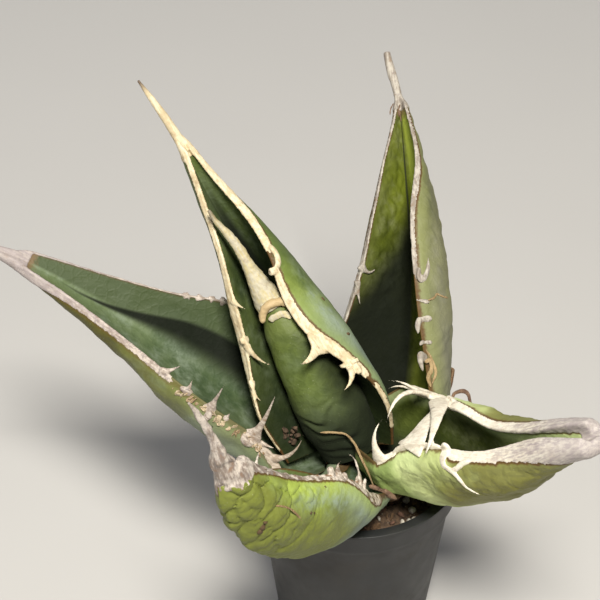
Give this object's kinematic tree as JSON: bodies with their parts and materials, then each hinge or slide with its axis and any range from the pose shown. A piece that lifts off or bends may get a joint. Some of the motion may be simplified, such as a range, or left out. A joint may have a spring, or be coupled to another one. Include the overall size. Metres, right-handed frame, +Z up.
{
  "type": "potted agave titanota",
  "caption": "Young agave rosette with cupped green leaves, toothed horny margins and long terminal spines, in a round plastic nursery pot",
  "frame": {"origin": "middle of the pot's foot, on the surface it stands on", "axes": "+Z up; +X to the right and +Y away, as the plant is seen from its front"},
  "size_m": [0.1488, 0.139, 0.1507],
  "materials": {
    "pot_plastic": "satin",
    "soil": "matte",
    "stem": "matte",
    "leaf_green": "satin",
    "spindle_green": "satin",
    "horn": "matte",
    "dry_leaf": "matte"
  },
  "bodies": {
    "root": {"pot": "pot_plastic", "soil": "soil", "stem": "stem", "spindle": "spindle_green", "spindle_horn": "horn", "leaf_tall": "leaf_green", "leaf_tall_horn": "horn", "leaf_back": "leaf_green", "leaf_back_horn": "horn", "leaf_left": "leaf_green", "leaf_left_horn": "horn", "leaf_right": "leaf_green", "leaf_right_horn": "horn", "leaf_front": "leaf_green", "leaf_front_horn": "horn", "dry_leaf_right": "dry_leaf", "dry_leaf_front": "dry_leaf"}
  },
  "joints": []
}
